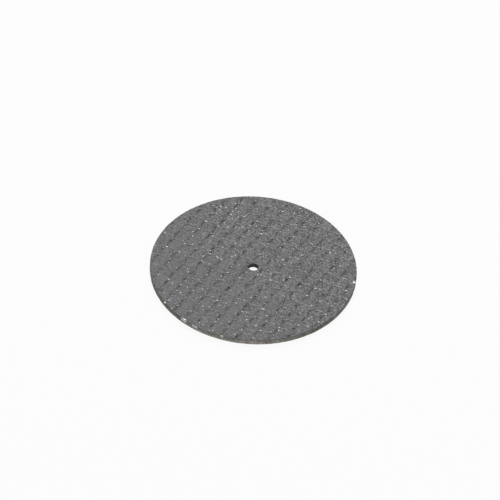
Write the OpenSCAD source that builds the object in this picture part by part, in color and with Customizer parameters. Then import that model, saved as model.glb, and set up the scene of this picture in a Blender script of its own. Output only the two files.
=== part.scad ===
// Thin cut-off disc of bonded grit with a glass mesh pressed into both faces, cured as one piece

/* [Disc] */
// Outside diameter of the disc
disc_d = 38; // [34:0.5:42]
// Thickness of the bonded grit, from face to face
disc_t = 1; // [0.8:0.1:1.6]
// Small break on both edges of the rim
edge_break = 0.05; // [0.02:0.01:0.1]

/* [Bore] */
// Diameter of the bore that the mandrel's screw passes through
bore_d = 1.8; // [1.5:0.1:3.2]
// Least width of the plain ring left round the bore
bore_land = 0.45; // [0.3:0.05:1.5]

/* [Glass mesh] */
// Distance between neighbouring warp lines, square across them
warp_pitch = 2.57; // [2.4:0.01:3]
// Distance between neighbouring weft lines, square across them
weft_pitch = 2.44; // [2.3:0.01:3]
// Lean of the warp away from square to the weft
warp_lean = 2.1; // [0:0.1:5]
// Place of the crossing nearest the bore, along the weft
mesh_x = -0.71; // [-1.2:0.01:1.2]
// Place of the crossing nearest the bore, across the weft
mesh_y = 1.08; // [-1.2:0.01:1.2]
// Turn of the lower face's mesh against the upper one's
lower_turn = 37; // [0:1:90]
// Plain margin between the mesh and the rim's edge
rim_land = 0.1; // [0.05:0.01:0.5]

/* [Knots] */
// Length of the knot where warp and weft cross, along the weft
knot_l = 0.66; // [0.5:0.01:0.8]
// Width of the knot
knot_w = 0.36; // [0.3:0.01:0.5]
// Height of the knot above the face
knot_proud = 0.06; // [0.05:0.01:0.1]
// How far the knots step to one side and the other, row by row
knot_step = 0.07; // [0:0.01:0.12]

/* [Weft ridges] */
// Gap between a ridge and the knot at its end
weft_gap = 0.03; // [0.02:0.01:0.1]
// Width of the ridge where it is widest
weft_w = 0.26; // [0.15:0.01:0.35]
// Height of the ridge above the face
weft_proud = 0.04; // [0.02:0.01:0.06]
// How far the weft bows away from the straight line between its knots
weft_bow = 0.15; // [0:0.01:0.25]

/* [Warp eyes] */
// Length of the hollow between the two threads of a warp
eye_l = 1.2; // [0.8:0.05:1.4]
// Width of the hollow
eye_w = 0.46; // [0.3:0.01:0.6]
// Depth of the hollow below the face
eye_depth = 0.09; // [0.04:0.01:0.12]
// How far the hollow lies beside the line of its knots
eye_beside = 0.17; // [0:0.01:0.25]
// How far the hollow lies past the middle between its knots
eye_past = 0.3; // [0:0.01:0.4]

/* [Hidden] */
disc_r = disc_d / 2;
half_t = disc_t / 2;
mesh_r = disc_r - edge_break - rim_land;
plain_r = bore_d / 2 + bore_land;
step_x = warp_pitch / cos(warp_lean);
ridge_l = step_x - knot_l - 2 * weft_gap;
columns = ceil(disc_r / warp_pitch) + 1;
rows = ceil(disc_r / weft_pitch) + 1;
// How far a raised or sunk form is carried through the face that it stands on
through = 0.01;

// Place of crossing i along the weft and j along the warp; rows step to one side and the other
function crossing(i, j) = [
    mesh_x + i * step_x + j * weft_pitch * tan(warp_lean) + knot_step * (j % 2 == 0 ? 1 : -1),
    mesh_y + j * weft_pitch
];

// Half the length of a form of this length and height, with the part that is through the face
function foot(l, h) = (1 + through / h) * l / 2;

// True where a form that reaches this far round p is all between the bore's ring and the rim's
function fits(p, reach) = norm(p) + reach < mesh_r && norm(p) - reach > plain_r;

// Low four-sided point, of which this length, width and height shows above z = 0
module point(l, w, h) {
    x = foot(l, h);
    y = foot(w, h);
    polyhedron(
        [[x, 0, -through], [0, y, -through], [-x, 0, -through], [0, -y, -through], [0, 0, h]],
        [[0, 1, 2, 3], [0, 4, 1], [1, 4, 2], [2, 4, 3], [3, 4, 0]]);
}

// Children at place p of one face's mesh: side 0 is the upper face and side 1 the lower
module on_face(side, p) {
    rotate([180 * side, 0, lower_turn * side]) translate([p[0], p[1], half_t]) children();
}

module mesh_ridges() {
    for (side = [0, 1], i = [-columns:columns], j = [-rows:rows]) {
        knot = crossing(i, j);
        ridge = knot + [step_x / 2, weft_bow];
        if (fits(knot, foot(knot_l, knot_proud))) on_face(side, knot) point(knot_l, knot_w, knot_proud);
        if (fits(ridge, foot(ridge_l, weft_proud))) on_face(side, ridge) point(ridge_l, weft_w, weft_proud);
    }
}

module warp_eyes() {
    for (side = [0, 1], i = [-columns:columns], j = [-rows:rows]) {
        eye = crossing(i, j) + [-eye_beside, weft_pitch / 2 + eye_past];
        if (fits(eye, foot(eye_l, eye_depth)))
            on_face(side, eye) rotate([180, 0, 90 - warp_lean]) point(eye_l, eye_w, eye_depth);
    }
}

// Pressed body with its bore, revolved from half of its section
module pressing() {
    rotate_extrude($fn = 96) polygon([
        [bore_d / 2, -half_t], [disc_r - edge_break, -half_t], [disc_r, edge_break - half_t],
        [disc_r, half_t - edge_break], [disc_r - edge_break, half_t], [bore_d / 2, half_t]]);
}

module cutting_disc() {
    color([0.45, 0.45, 0.46]) translate([0, 0, half_t + knot_proud]) difference() {
        union() {
            pressing();
            mesh_ridges();
        }
        warp_eyes();
    }
}

cutting_disc();
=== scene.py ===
import bpy
import math
import random
from mathutils import Matrix, Vector


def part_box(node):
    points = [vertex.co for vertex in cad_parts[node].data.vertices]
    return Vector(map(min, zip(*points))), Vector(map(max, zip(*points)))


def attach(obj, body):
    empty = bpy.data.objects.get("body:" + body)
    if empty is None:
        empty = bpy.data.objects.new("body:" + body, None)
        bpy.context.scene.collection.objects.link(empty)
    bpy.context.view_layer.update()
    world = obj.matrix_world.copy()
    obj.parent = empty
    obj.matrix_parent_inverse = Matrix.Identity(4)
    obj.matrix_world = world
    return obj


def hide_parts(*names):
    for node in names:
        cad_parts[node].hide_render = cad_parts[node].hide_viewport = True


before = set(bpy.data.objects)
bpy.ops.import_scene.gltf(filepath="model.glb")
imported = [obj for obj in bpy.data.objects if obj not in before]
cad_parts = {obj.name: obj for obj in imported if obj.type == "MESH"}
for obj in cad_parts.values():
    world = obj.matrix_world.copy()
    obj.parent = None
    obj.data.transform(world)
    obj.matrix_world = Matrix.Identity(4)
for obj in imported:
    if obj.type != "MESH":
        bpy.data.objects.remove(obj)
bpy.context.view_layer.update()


# Camera
# The photograph looks down at the disc from about 44 degrees with a long lens, turned a little,
# and the disc sits just below the middle of the frame.
mm = 0.001
view_turn = math.radians(26.7)
view_height = math.radians(44.15)
view_roll = math.radians(3.76)
view_distance = 633 * mm
view_aim = Vector((0, 0, 1.06 * mm))
right = Vector((math.cos(view_turn), math.sin(view_turn), 0))
ahead = Vector((-math.sin(view_turn), math.cos(view_turn), 0))
look = ahead * math.cos(view_height) - Vector((0, 0, 1)) * math.sin(view_height)
up = right.cross(look)
rolled_right = right * math.cos(view_roll) + up * math.sin(view_roll)
rolled_up = up * math.cos(view_roll) - right * math.sin(view_roll)
bpy.ops.object.camera_add()
camera = bpy.context.object
turn = Matrix((rolled_right, rolled_up, -look)).transposed().to_4x4()
camera.matrix_world = Matrix.Translation(view_aim - look * view_distance) @ turn
camera.data.lens = 248.9
camera.data.sensor_width = 36
camera.data.shift_x = -0.0069
camera.data.shift_y = 0.0337
bpy.context.scene.camera = camera


# Pressed disc
# The body is abrasive grit bound in dark resin, pressed in a round mould and cured in one piece.
# Its faces sink a little along the threads of the glass mesh and into an eye between two threads
# of each warp, and its rim and bore are left as the mould and the cutter leave them.
low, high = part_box("cutting_disc")
disc_r = (high[0] - low[0]) / 2
knot_proud = 0.06 * mm
upper_face = high[2] - knot_proud
lower_face = low[2] + knot_proud
middle = (upper_face + lower_face) / 2
bore_r = 0.9 * mm
bore_rough = 0.03 * mm
bore_play = 0.07 * mm
rim_rough = 0.05 * mm
wall_rings = 7
edge_break = 0.05 * mm
warp_pitch = 2.57 * mm
weft_pitch = 2.44 * mm
warp_lean = math.radians(2.1)
mesh_x = -0.71 * mm
mesh_y = 1.08 * mm
knot_step = 0.07 * mm
lower_turn = math.radians(37)
step_x = warp_pitch / math.cos(warp_lean)
columns = math.ceil(disc_r / warp_pitch) + 1
rows = math.ceil(disc_r / weft_pitch) + 1
eye_l = 1.35 * mm
eye_w = 0.5 * mm
eye_depth = 0.085 * mm
eye_beside = 0.17 * mm
eye_past = 0.22 * mm
thread_sink = 0.026 * mm
warp_reach = 0.6 * mm
weft_reach = 0.5 * mm
slab_depth = 0.56 * mm
face_tremor = 0.016 * mm
wave_counts = (5, 23, 41, 67, 97, 131)
smooth_angle = math.radians(50)
grain_size = 0.26 * mm
grit_tone = 0.166
least_tone = 0.03


def select_only(*pieces):
    bpy.ops.object.select_all(action="DESELECT")
    for piece in pieces:
        piece.select_set(True)
    bpy.context.view_layer.objects.active = pieces[0]


def select_verts(piece, wanted):
    """Leaves the piece in edit mode with just the points that wanted() picks selected."""
    select_only(piece)
    bpy.ops.object.mode_set(mode="EDIT")
    bpy.ops.mesh.select_mode(type="VERT")
    bpy.ops.mesh.select_all(action="DESELECT")
    bpy.ops.object.mode_set(mode="OBJECT")
    for vert in piece.data.vertices:
        vert.select = wanted(vert.co)
    bpy.ops.object.mode_set(mode="EDIT")


def pull(piece, wanted, rise, reach):
    """Moves the picked points up or down and lets the surface round them follow."""
    select_verts(piece, wanted)
    bpy.ops.transform.translate(value=(0, 0, rise), use_proportional_edit=True,
                                proportional_edit_falloff="SMOOTH", proportional_size=reach)
    bpy.ops.object.mode_set(mode="OBJECT")


def combine(piece, other, operation):
    """Boolean of two closed pieces; the other one is used up."""
    cut = piece.modifiers.new("cut", "BOOLEAN")
    cut.operation = operation
    cut.solver = "EXACT"
    cut.object = other
    select_only(piece)
    bpy.ops.object.modifier_apply(modifier=cut.name)
    bpy.data.objects.remove(other)


def join(pieces, name):
    select_only(*pieces)
    bpy.ops.object.join()
    joined = bpy.context.object
    joined.name = name
    return joined


def placed(form, place):
    """A copy of a form with a mesh of its own, set in place."""
    copy = form.copy()
    copy.data = form.data.copy()
    copy.data.transform(place)
    bpy.context.collection.objects.link(copy)
    return copy


def step_aside(j):
    """How far the knots of weft j stand beside the line: one row to the right and the next to the left."""
    return knot_step if j % 2 == 0 else -knot_step


def weave_point(i, j):
    """Where warp i crosses weft j."""
    return Vector((mesh_x + i * step_x + j * weft_pitch * math.tan(warp_lean) + step_aside(j),
                   mesh_y + j * weft_pitch, 0))


def two_cells(across, along):
    """A patch of face that holds two cells of the mesh, one above the other."""
    bpy.ops.mesh.primitive_grid_add(x_subdivisions=across, y_subdivisions=along, size=1)
    patch = bpy.context.object
    bpy.ops.object.mode_set(mode="EDIT")
    bpy.ops.transform.translate(value=(0, 0.5, 0))
    bpy.ops.transform.resize(value=(step_x, 2 * weft_pitch, 1), center_override=(0, 0, 0))
    bpy.ops.object.mode_set(mode="OBJECT")
    near = 0.51 * step_x / across
    pull(patch, lambda p: abs(p.x) < near, -thread_sink, warp_reach)
    pull(patch, lambda p: min(p.y, abs(p.y - weft_pitch), 2 * weft_pitch - p.y) < near,
         -0.6 * thread_sink, weft_reach)
    keel = (eye_l - eye_w) / 2
    for row in range(2):
        centre = Vector((step_aside(row) - eye_beside, (row + 0.5) * weft_pitch + eye_past, 0))
        pull(patch, lambda p: abs(p.x - centre.x) < near and abs(p.y - centre.y) < keel,
             -eye_depth, 0.62 * eye_w)
    for vert in patch.data.vertices:
        vert.co.x += vert.co.y * math.tan(warp_lean)
    return patch


def face_slab(across, along, name, seed):
    """One face of the disc, made of copies of the patch, with flat material behind it."""
    patch = two_cells(across, along)
    eye_edge = -1.7 * thread_sink
    lot = random.Random(seed)
    copies = []
    for i in range(-columns, columns + 1):
        for j in range(-rows - 1, rows + 1, 2):
            corner = weave_point(i, j) - Vector((step_aside(j), 0, 0))
            centre = corner + Vector((0, weft_pitch, 0))
            if centre.length > disc_r + weft_pitch:
                continue
            deeper = lot.uniform(0.75, 1.15)
            cells = placed(patch, Matrix.Translation(corner))
            for vert in cells.data.vertices:
                if vert.co.z < eye_edge:
                    vert.co.z = eye_edge + (vert.co.z - eye_edge) * deeper
            copies.append(cells)
    bpy.data.objects.remove(patch)
    slab = join(copies, name)
    bpy.ops.object.mode_set(mode="EDIT")
    bpy.ops.mesh.select_all(action="SELECT")
    bpy.ops.mesh.remove_doubles(threshold=0.02 * mm)
    bpy.ops.transform.vertex_random(offset=face_tremor, seed=seed)
    bpy.ops.mesh.region_to_loop()
    bpy.ops.mesh.extrude_edges_move(TRANSFORM_OT_translate={"value": (0, 0, -slab_depth)})
    bpy.ops.transform.resize(value=(1, 1, 0), center_override=(0, 0, -slab_depth))
    bpy.ops.mesh.edge_face_add()
    bpy.ops.mesh.select_all(action="SELECT")
    bpy.ops.mesh.normals_make_consistent(inside=False)
    bpy.ops.transform.translate(value=(0, 0, (upper_face - lower_face) / 2))
    bpy.ops.object.mode_set(mode="OBJECT")
    return slab


def rough_wall(name, radius, sides, rings, rough, taper, seed):
    """A closed round of this radius with an uneven wall, and with ends that narrow or flare past it."""
    bpy.ops.mesh.primitive_circle_add(vertices=sides, radius=radius - rough, fill_type="NGON",
                                      location=(0, 0, lower_face + edge_break))
    wall = bpy.context.object
    wall.name = name
    bpy.ops.object.transform_apply(location=True)
    rise = (upper_face - lower_face - 2 * edge_break) / rings
    past = 4 * edge_break
    grow = 1 + taper * past / radius
    bpy.ops.object.mode_set(mode="EDIT")
    bpy.ops.mesh.select_all(action="SELECT")
    for ring in range(rings):
        bpy.ops.mesh.extrude_region_move(TRANSFORM_OT_translate={"value": (0, 0, rise)})
    bpy.ops.mesh.extrude_region_move(TRANSFORM_OT_translate={"value": (0, 0, past)})
    bpy.ops.transform.resize(value=(grow, grow, 1), center_override=(0, 0, 0))
    bpy.ops.object.mode_set(mode="OBJECT")
    select_verts(wall, lambda p: p.z < lower_face + 1.1 * edge_break)
    bpy.ops.mesh.extrude_region_move(TRANSFORM_OT_translate={"value": (0, 0, -past)})
    bpy.ops.transform.resize(value=(grow, grow, 1), center_override=(0, 0, 0))
    bpy.ops.mesh.select_all(action="SELECT")
    bpy.ops.mesh.normals_make_consistent(inside=False)
    bpy.ops.object.mode_set(mode="OBJECT")
    lot = random.Random(seed)
    waves = [(count, lot.uniform(0, 6.28)) for count in wave_counts]
    for vert in wall.data.vertices:
        way = Vector((vert.co.x, vert.co.y, 0)).normalized()
        at = math.atan2(vert.co.y, vert.co.x)
        swell = sum(math.sin(count * at + start) for count, start in waves) / len(waves)
        vert.co += way * rough * (0.6 * swell + 0.4 * lot.uniform(-1, 1))
    return wall


def rim_point(degrees, away, height):
    """The point in this direction from the axis, so far away from it and at this height."""
    angle = math.radians(degrees)
    return Vector((away * math.cos(angle), away * math.sin(angle), height))


def chip_away(at, size):
    """Breaks a small hollow out of an edge of the disc."""
    bpy.ops.mesh.primitive_ico_sphere_add(subdivisions=2, radius=size, location=at)
    lump = bpy.context.object
    bpy.ops.object.transform_apply(location=True)
    bpy.ops.object.mode_set(mode="EDIT")
    bpy.ops.transform.vertex_random(offset=0.2 * size, seed=3)
    bpy.ops.object.mode_set(mode="OBJECT")
    combine(disc, lump, "DIFFERENCE")


disc = face_slab(across=18, along=34, name="pressed_disc", seed=4)
under = face_slab(across=14, along=26, name="under_face", seed=9)
turned_under = Matrix.Rotation(lower_turn, 4, "Z") @ Matrix.Rotation(math.pi, 4, "X")
under.data.transform(turned_under)
combine(disc, under, "UNION")
disc.data.transform(Matrix.Translation((0, 0, middle)))
rim = rough_wall("rim", disc_r, sides=640, rings=wall_rings, rough=rim_rough, taper=-1, seed=2)
combine(disc, rim, "INTERSECT")
bore = rough_wall("bore", bore_r + bore_play, sides=56, rings=wall_rings, rough=bore_rough, taper=0.3, seed=5)
combine(disc, bore, "DIFFERENCE")
chip_away(rim_point(-152, bore_r + 0.12 * mm, upper_face + 0.03 * mm), 0.2 * mm)
chip_away(rim_point(-116, disc_r + 0.22 * mm, upper_face - 0.1 * mm), 0.4 * mm)
select_only(disc)
bpy.ops.object.shade_smooth_by_angle(angle=smooth_angle)


class Wire:
    """One output of a shader node, which can be written in sums like a number."""

    def __init__(self, tree, socket):
        self.tree = tree
        self.socket = socket

    def node(self, kind, settings, sockets, out=0):
        """Adds a node with these settings, and gives each of its sockets a value or a wire."""
        made = self.tree.nodes.new(kind)
        for key, value in settings.items():
            setattr(made, key, value)
        for key, value in sockets.items():
            if isinstance(value, Wire):
                self.tree.links.new(value.socket, made.inputs[key])
            else:
                made.inputs[key].default_value = value
        return Wire(self.tree, made.outputs[out])

    def maths(self, operation, first, second=0.0):
        return self.node("ShaderNodeMath", {"operation": operation}, {0: first, 1: second})

    def vectors(self, operation, other=(0, 0, 0), out=0):
        return self.node("ShaderNodeVectorMath", {"operation": operation}, {0: self, 1: other}, out)

    def __add__(self, other):
        return self.maths("ADD", self, other)

    def __radd__(self, other):
        return self.maths("ADD", other, self)

    def __sub__(self, other):
        return self.maths("SUBTRACT", self, other)

    def __rsub__(self, other):
        return self.maths("SUBTRACT", other, self)

    def __mul__(self, other):
        return self.maths("MULTIPLY", self, other)

    def __rmul__(self, other):
        return self.maths("MULTIPLY", other, self)

    def __truediv__(self, other):
        return self.maths("DIVIDE", self, other)

    def __abs__(self):
        return self.maths("ABSOLUTE", self)

    def over(self, start, end):
        """Goes smoothly from 0 at start to 1 at end."""
        return self.node("ShaderNodeMapRange", {"interpolation_type": "SMOOTHSTEP"},
                         {0: self, 1: start, 2: end})

    def mixed(self, first, second):
        """Colour that goes from the first to the second as this value goes from 0 to 1."""
        return self.node("ShaderNodeMix", {"data_type": "RGBA"}, {0: self, 6: first, 7: second}, 2)

    def noise(self, size, detail=2.0):
        """Noise whose features are about this size, in metres, over object coordinates."""
        return self.node("ShaderNodeTexNoise", {}, {"Vector": self, "Scale": 1 / size, "Detail": detail})

    def cells(self, size, feature, out):
        sockets = {"Vector": self, "Scale": 1 / size}
        return self.node("ShaderNodeTexVoronoi", {"feature": feature}, sockets, out)

    def part(self, axis):
        return self.node("ShaderNodeSeparateXYZ", {}, {0: self}, axis)

    def along(self, direction):
        """How far this place lies along a direction."""
        return self.vectors("DOT_PRODUCT", direction, 1)

    def bumped(self, strength, distance):
        """A normal from this height."""
        sockets = {"Strength": strength, "Distance": distance, "Height": self}
        return self.node("ShaderNodeBump", {}, sockets)


def finish(name, roughness, **constants):
    """A material, its principled shader and a wire of object coordinates to build on."""
    material = bpy.data.materials.new(name)
    material.use_nodes = True
    shader = material.node_tree.nodes["Principled BSDF"]
    shader.inputs["Roughness"].default_value = roughness
    for key, value in constants.items():
        shader.inputs[key.replace("_", " ")].default_value = value
    place = material.node_tree.nodes.new("ShaderNodeTexCoord")
    return material, shader, Wire(material.node_tree, place.outputs["Object"])


def feed(shader, socket, wire):
    wire.tree.links.new(wire.socket, shader.inputs[socket])


def grey(level):
    return (level, level, level, 1)


grit_finish, shader, place = finish("bonded_grit", 0.6)
x = place.part(0)
y = place.part(1)
z = place.part(2)
off_middle = abs(z - middle)
depth = ((upper_face - lower_face) / 2 - off_middle) / eye_depth
deep = depth.over(0.25, 0.95)
shallow = depth.over(-0.1, 0.45)

# Speckle of the grit, coarser towards one side of the face, and darker where the face is sunk: partly darker
# resin there, partly painted shade of the hollows
grain = place.cells(grain_size, "F1", "Color").part(0)
joints = place.cells(grain_size, "DISTANCE_TO_EDGE", "Distance")
fine = place.noise(0.16 * mm, 1.0)
patches = place.noise(2.4 * mm, 3.0)
coarse = place.along(right * 0.8 + ahead * 0.6).over(-14 * mm, 12 * mm) * 0.75 + 0.7
speckle = ((grain - 0.5) * 0.13 + (fine - 0.5) * 0.4) * coarse
level = grit_tone + speckle + (patches - 0.5) * 0.07
# Darkening of the sunk eyes and threads: darker resin and painted shade of the hollows
eye_resin_and_shade = place.noise(1.9 * mm, 1.0).over(0.3, 0.7) * 0.26 + 0.1
level = level.maths("MAXIMUM", level, least_tone) * (1 - deep * eye_resin_and_shade) * (1 - shallow * 0.1)

# Dark line along each warp of the upper or the lower face, swaying from its knots to its eyes: partly darker
# resin in the sunk warp, partly painted shade of its groove
on_top = z.maths("GREATER_THAN", z, middle)
under_x = x * math.cos(lower_turn) + y * math.sin(lower_turn)
under_y = x * math.sin(lower_turn) - y * math.cos(lower_turn)
weave_x = under_x + (x - under_x) * on_top - mesh_x
weave_y = under_y + (y - under_y) * on_top - mesh_y
sway = weave_y.maths("COSINE", weave_y * (2 * math.pi / weft_pitch)) * -0.5 + 0.5
across = weave_x - weave_y * math.tan(warp_lean) + sway * eye_beside
off_warp = across.maths("PINGPONG", across, step_x / 2)
# Painted shade of the warp groove, with its darker resin
warp_resin_and_shade = off_warp.over(0.2 * mm, 0.04 * mm) * place.noise(0.5 * mm, 2.0).over(0.36, 0.56)
level = level * (1 - warp_resin_and_shade * 0.27)
grains = level.node("ShaderNodeCombineColor", {}, {0: level, 1: level * 0.985, 2: level * 1.015})

# Wall of the rim: browner, lighter towards the bottom, dark along its upper edge, with painted light where it
# faces the front and painted shade towards its left and right ends
wall_level = place.noise(0.3 * mm, 2.0).over(0.3, 0.7) * 0.6
wall_level += place.noise(1.6 * mm, 2.0).over(0.35, 0.65) * 0.4
wall_level += (middle - z) / (1.5 * mm)
wall_middle = wall_level.mixed((0.17, 0.16, 0.13, 1), (0.52, 0.505, 0.44, 1))
wall_colour = z.over(middle + 0.34 * mm, middle + 0.48 * mm).mixed(wall_middle, (0.13, 0.12, 0.1, 1))
# Painted light on the wall facing the front, painted shade towards its left and right ends
front_light_side_shade = abs(place.along(right) + 1 * mm).over(14 * mm, 5 * mm)
wall_colour = wall_colour.vectors("MULTIPLY", front_light_side_shade.mixed((0.6, 0.59, 0.56, 1), (1.1, 1.1, 1.12, 1)))
radius = place.vectors("MULTIPLY", (1, 1, 0)).vectors("LENGTH", out=1)
wall = radius.over(disc_r - 0.14 * mm, disc_r - 0.06 * mm)
feed(shader, "Base Color", wall.mixed(grains, wall_colour))
feed(shader, "Roughness", fine * 0.25 + 0.48)
lumps = joints.over(0.0, 0.25) * 0.5 + fine * 1.2 + place.noise(0.45 * mm, 2.0) * 0.8
feed(shader, "Normal", lumps.bumped(1.0, 0.05 * mm))
disc.data.materials.append(grit_finish)
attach(disc, "root")
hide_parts("cutting_disc")


# Glass mesh
# Both faces carry an open leno mesh of glass yarn, soaked in resin and pressed into the grit
# before the disc is cured. Its weft shows as low crests between the knots that tie it to the warp,
# paler towards one side of the face.
crest_l = 1.75 * mm
crest_w = 0.32 * mm
crest_rise = 0.035 * mm
crest_bow = 0.3 * mm
crest_ahead = 1.03 * mm
crest_widths = (0.4, 0.8, 1.0, 1.1, 1.1, 1.05, 0.9, 0.7, 0.35)
knot_l = 0.56 * mm
knot_w = 0.4 * mm
mesh_r = disc_r - 0.15 * mm
plain_r = bore_r + 0.45 * mm
face_lift = Matrix.Translation((0, 0, (upper_face - lower_face) / 2))


def weft_crest():
    """A stretch of weft between two knots: a flat yarn drawn along its bow and thinned at both ends."""
    bpy.ops.mesh.primitive_circle_add(vertices=6, radius=1, fill_type="NGON",
                                      rotation=(0, math.pi / 2, 0))
    crest = bpy.context.object
    bpy.ops.object.transform_apply(rotation=True)
    bpy.ops.object.mode_set(mode="EDIT")
    bpy.ops.transform.resize(value=(1, crest_widths[0] * crest_w / 2, crest_widths[0] * crest_rise))
    bpy.ops.transform.translate(value=(-crest_l / 2, 0, 0))
    steps = len(crest_widths) - 1
    for step in range(1, steps + 1):
        before, after = [crest_bow * (1 - (2 * k / steps - 1) ** 2) for k in (step - 1, step)]
        stride = (crest_l / steps, after - before, 0)
        bpy.ops.mesh.extrude_region_move(TRANSFORM_OT_translate={"value": stride})
        grow = crest_widths[step] / crest_widths[step - 1]
        bpy.ops.transform.resize(value=(1, grow, grow), center_override=(0, after, 0))
    bpy.ops.mesh.select_all(action="SELECT")
    bpy.ops.mesh.normals_make_consistent(inside=False)
    bpy.ops.object.mode_set(mode="OBJECT")
    return crest


def mesh_knot():
    """A knot: a low bead, a little slanted, with its ends drawn out along the weft."""
    bpy.ops.mesh.primitive_uv_sphere_add(segments=10, ring_count=6, radius=1)
    knot = bpy.context.object
    bpy.ops.object.mode_set(mode="EDIT")
    bpy.ops.transform.resize(value=(knot_l / 2, knot_w / 2, 0.98 * knot_proud))
    bpy.ops.object.mode_set(mode="OBJECT")
    select_verts(knot, lambda p: p.x > 0.2 * knot_l)
    bpy.ops.transform.translate(value=(0.05 * mm, 0.05 * mm, 0))
    bpy.ops.object.mode_set(mode="OBJECT")
    return knot


def pressed_mesh(name, seed, side):
    """The knots and crests of one face, each a little different; a few knots keep their full size."""
    lot = random.Random(seed)
    copies = []
    for i in range(-columns, columns + 1):
        for j in range(-rows, rows + 1):
            crossing = weave_point(i, j)
            crest_middle = crossing + Vector((crest_ahead, 0, 0))
            for form, at, reach in ((knot, crossing, knot_l / 2), (crest, crest_middle, crest_l / 2)):
                if at.length + reach > mesh_r or at.length - reach < plain_r:
                    continue
                if form is knot:
                    shown = lot.uniform(0.1, 1) ** 1.5
                else:
                    shown = lot.uniform(0.1, 0.6) * (0.4 + (at.dot(right) / disc_r + 1) / 2)
                aside = Vector((lot.uniform(-0.08, 0.08), lot.uniform(-0.08, 0.08), 0)) * mm
                turn = Matrix.Rotation(math.radians(lot.uniform(-12, 12)), 4, "Z")
                size = Matrix.Diagonal((lot.uniform(0.65, 1.1), 0.55 + 0.5 * shown, shown, 1))
                if form is knot and j % 5 == 0 and i % 3 == 0:
                    size = Matrix.Identity(4)
                spot = side @ face_lift @ Matrix.Translation(at + aside)
                copies.append(placed(form, spot @ turn @ size))
    pressed = join(copies, name)
    pressed.data.transform(Matrix.Translation((0, 0, middle)))
    bpy.ops.object.shade_smooth()
    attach(pressed, "root")
    return pressed


knot_finish, shader, place = finish("resin_soaked_knots", 0.38)
# Pale patches on the knots: bare glass fibre, made paler still as a painted glint
pale = place.noise(0.9 * mm, 2.0).over(0.48, 0.66)
feed(shader, "Base Color", pale.mixed(grey(0.14), grey(0.62)))
feed(shader, "Normal", place.noise(0.12 * mm).bumped(0.6, 0.03 * mm))
crest_finish, shader, place = finish("weft_crests", 0.42)
# Paler towards the right of the face
paler_rightwards = place.along(right).over(-6 * mm, 18 * mm) * 0.75 + 0.06
streaks = place.noise(0.4 * mm, 3.0).over(0.49, 0.64)
feed(shader, "Base Color", (paler_rightwards * streaks).mixed(grey(0.13), grey(0.66)))
feed(shader, "Normal", place.noise(0.12 * mm).bumped(0.6, 0.03 * mm))
knot = mesh_knot()
knot.data.materials.append(knot_finish)
crest = weft_crest()
crest.data.materials.append(crest_finish)
upper_mesh = pressed_mesh("upper_mesh", 21, Matrix.Identity(4))
lower_mesh = pressed_mesh("lower_mesh", 22, turned_under)
bpy.data.objects.remove(knot)
bpy.data.objects.remove(crest)


# Bright grains and dark pits
# Here and there a clean grain or a chip of glass stands in the surface, its pale colour partly its own and
# partly a painted glint, and a few small pits show as dark specks of painted shade. They are part of the
# grit, held by its resin.
glints = 1200
# Number of dark specks painted as the shade of small pits
sockets = 2000
smallest = 0.6
largest = 2.1


def grain_chip():
    bpy.ops.mesh.primitive_ico_sphere_add(subdivisions=1, radius=1)
    chip = bpy.context.object
    bpy.ops.object.mode_set(mode="EDIT")
    bpy.ops.transform.resize(value=(0.1 * mm, 0.07 * mm, 0.03 * mm))
    bpy.ops.transform.vertex_random(offset=0.012 * mm, seed=6)
    bpy.ops.object.mode_set(mode="OBJECT")
    return chip


def anywhere(lot):
    """A place anywhere on the face, as likely here as there."""
    away = math.sqrt(lot.uniform((plain_r / mesh_r) ** 2, 1)) * mesh_r
    round_by = lot.uniform(0, 2 * math.pi)
    return Vector((away * math.cos(round_by), away * math.sin(round_by), 0))


def beside_eyes(lot):
    """A place near the line of an eye, where the grit is thinnest."""
    at = weave_point(lot.randint(-columns, columns), lot.randint(-rows, rows))
    beside = lot.gauss(-eye_beside, 0.13 * mm)
    ahead_of_knot = weft_pitch / 2 + eye_past + lot.uniform(-0.9, 0.9) * mm
    at += Vector((beside, ahead_of_knot, 0))
    return at if plain_r < at.length < mesh_r - 0.2 * mm else anywhere(lot)


def scattered(name, count, seed, choose):
    """Chips spread over both faces by turns, sunk to half of their height, most of them small."""
    lot = random.Random(seed)
    copies = []
    for number in range(count):
        at = choose(lot)
        size = smallest + (largest - smallest) * lot.random() ** 2
        side = turned_under if number % 2 else Matrix.Identity(4)
        turn = Matrix.Rotation(lot.uniform(0, 6.28), 4, "Z")
        spot = side @ face_lift @ Matrix.Translation(at)
        copies.append(placed(chip, spot @ turn @ Matrix.Scale(size, 4)))
    grains = join(copies, name)
    grains.data.transform(Matrix.Translation((0, 0, middle)))
    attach(grains, "root")
    return grains


chip = grain_chip()
bright = scattered("bright_grains", glints, 31, anywhere)
glint_finish, shader, place = finish("clean_grain_painted_glint", 0.25)
# Pale colour of the grains: partly their own, partly a painted glint
feed(shader, "Base Color", place.noise(0.6 * mm).over(0.35, 0.65).mixed(grey(0.36), grey(0.95)))
bright.data.materials.append(glint_finish)
# Dark specks along the eyes: painted shade of small pits
dark = scattered("painted_pit_shade_specks", sockets, 32, beside_eyes)
pit_shade_finish, shader, place = finish("painted_pit_shade", 0.7)
feed(shader, "Base Color", place.noise(0.6 * mm).mixed(grey(0.03), grey(0.08)))
dark.data.materials.append(pit_shade_finish)
bpy.data.objects.remove(chip)


# Yarn ends at the rim
# Where a yarn of either mesh runs out of the disc it is cut off flush with the rim, and shows as a
# small pale tuft in the wall. A few have frayed: one stands at the right, and a silvery strip of
# yarn with its broken tail and two loose bits lie along the front.
end_out = disc_r - 0.055 * mm
end_rise = 0.3 * mm
strip_out = disc_r - 0.01 * mm
strip_cuts = 9


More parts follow.
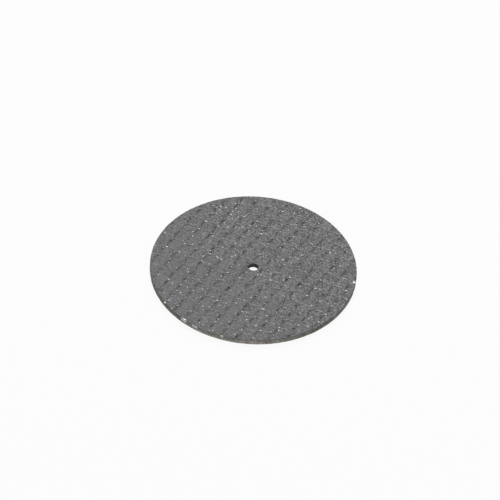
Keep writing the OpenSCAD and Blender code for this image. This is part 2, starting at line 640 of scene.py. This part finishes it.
def yarn_end():
    bpy.ops.mesh.primitive_uv_sphere_add(segments=8, ring_count=5, radius=1)
    end = bpy.context.object
    bpy.ops.object.mode_set(mode="EDIT")
    bpy.ops.transform.resize(value=(0.035 * mm, 0.14 * mm, 0.075 * mm))
    bpy.ops.object.mode_set(mode="OBJECT")
    return end


def line_angles():
    """The directions from the axis in which wefts and warps run out of the rim."""
    angles = []
    for line in range(-rows, rows + 1):
        y = mesh_y + line * weft_pitch
        if abs(y) < 0.97 * disc_r:
            x = math.sqrt(disc_r ** 2 - y ** 2)
            angles += [math.atan2(y, x), math.atan2(y, -x)]
        x = mesh_x + line * step_x
        if abs(x) < 0.97 * disc_r:
            y = math.sqrt(disc_r ** 2 - x ** 2)
            lean = y * math.tan(warp_lean)
            angles += [math.atan2(y, x + lean), math.atan2(-y, x - lean)]
    return angles


def frayed_strip(start, sweep, low_edge, high_edge, thick, seed):
    """A ragged piece of yarn that lies along the rim from one direction on, between two heights."""
    bpy.ops.mesh.primitive_cube_add(size=1)
    strip = bpy.context.object
    bpy.ops.object.mode_set(mode="EDIT")
    bpy.ops.mesh.subdivide(number_cuts=strip_cuts)
    bpy.ops.mesh.vertices_smooth(factor=0.5, repeat=3)
    bpy.ops.object.mode_set(mode="OBJECT")
    lot = random.Random(seed)
    ragged = [lot.uniform(0.6, 1.0) for column in range(strip_cuts + 2)]
    for vert in strip.data.vertices:
        wide = ragged[round((vert.co.x + 0.5) * (strip_cuts + 1))]
        height = high_edge + (vert.co.y - 0.5) * (high_edge - low_edge) * wide
        away = strip_out + (vert.co.z - 0.5) * thick
        vert.co = rim_point(start + sweep * (vert.co.x + 0.5), away, height)
    return strip


end = yarn_end()
lot = random.Random(41)
ends = []
for side in (Matrix.Identity(4), turned_under):
    for angle in line_angles():
        size = lot.uniform(0.6, 1.25)
        facing = Matrix.Translation((0, 0, middle)) @ side @ Matrix.Rotation(angle, 4, "Z")
        out = Matrix.Translation((end_out, 0, end_rise + lot.uniform(-0.03, 0.03) * mm))
        ends.append(placed(end, facing @ out @ Matrix.Diagonal((1, size, size, 1))))
bpy.data.objects.remove(end)
yarn_ends = join(ends, "yarn_ends")

# Silvery strip, the thicker fibre on it, its broken tail, two loose bits and the tuft at the right
frayed = join([
    frayed_strip(-104.3, 4.2, lower_face + 0.15 * mm, upper_face + 0.02 * mm, 0.16 * mm, 51),
    frayed_strip(-103.2, 2.6, upper_face - 0.4 * mm, upper_face + 0.05 * mm, 0.28 * mm, 58),
    frayed_strip(-96.4, 3.6, lower_face + 0.5 * mm, upper_face - 0.02 * mm, 0.1 * mm, 53),
    frayed_strip(-79.0, 1.6, upper_face - 0.45 * mm, upper_face + 0.01 * mm, 0.16 * mm, 55),
    frayed_strip(-119.4, 1.3, upper_face - 0.25 * mm, upper_face + 0.02 * mm, 0.24 * mm, 56),
    frayed_strip(18.6, 1.5, upper_face - 0.3 * mm, upper_face + 0.045 * mm, 0.55 * mm, 57),
], "frayed_yarn")
bpy.ops.object.mode_set(mode="EDIT")
bpy.ops.mesh.select_all(action="SELECT")
bpy.ops.mesh.normals_make_consistent(inside=False)
bpy.ops.object.mode_set(mode="OBJECT")
bpy.ops.object.shade_smooth_by_angle(angle=smooth_angle)
end_finish, shader, place = finish("cut_yarn", 0.35)
dirt = place.noise(0.35 * mm, 2.0).over(0.35, 0.65)
feed(shader, "Base Color", dirt.mixed((0.46, 0.44, 0.37, 1), (0.22, 0.21, 0.17, 1)))
frayed_finish, shader, place = finish("bare_glass_yarn", 0.3)
patchy = place.noise(0.4 * mm, 2.0).over(0.42, 0.6)
feed(shader, "Base Color", patchy.mixed(grey(0.78), grey(0.3)))
feed(shader, "Normal", place.noise(0.1 * mm).bumped(0.5, 0.02 * mm))
for yarn, yarn_finish in ((yarn_ends, end_finish), (frayed, frayed_finish)):
    yarn.data.materials.append(yarn_finish)
    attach(yarn, "root")


# Floor and backdrop
# A plain white table that the disc lies on. The camera sees it as white paper, with just enough
# of its own shade mixed in to keep the shadow of the disc.
bpy.ops.mesh.primitive_plane_add(size=6, location=(0, 0, -0.01 * mm))
floor = bpy.context.object
floor.name = "floor"
floor_finish, shader, place = finish("white_floor", 0.9, Base_Color=(0.85, 0.85, 0.85, 1))
tree = floor_finish.node_tree
ray = tree.nodes.new("ShaderNodeLightPath")
seen = Wire(tree, ray.outputs["Is Camera Ray"])
white = seen.node("ShaderNodeEmission", {}, {"Color": (1, 1, 1, 1), "Strength": 1.0})
plain = Wire(tree, shader.outputs[0])
shown = seen.node("ShaderNodeMixShader", {}, {0: seen * 0.92, 1: plain, 2: white})
tree.links.new(shown.socket, tree.nodes["Material Output"].inputs["Surface"])
floor.data.materials.append(floor_finish)


# Light
# A white room and one broad soft lamp behind the disc.
world = bpy.data.worlds.new("room")
bpy.context.scene.world = world
world.use_nodes = True
world.node_tree.nodes["Background"].inputs["Color"].default_value = (1, 1, 1, 1)
world.node_tree.nodes["Background"].inputs["Strength"].default_value = 0.5
bpy.ops.object.light_add(type="AREA", location=(-0.35, 0.75, 0.75))
lamp = bpy.context.object
lamp.data.size = 0.35
lamp.data.energy = 6.5
lamp.rotation_euler = (Vector((0, 0, 0)) - lamp.location).to_track_quat("-Z", "Y").to_euler()
bpy.context.scene.view_settings.view_transform = "Standard"
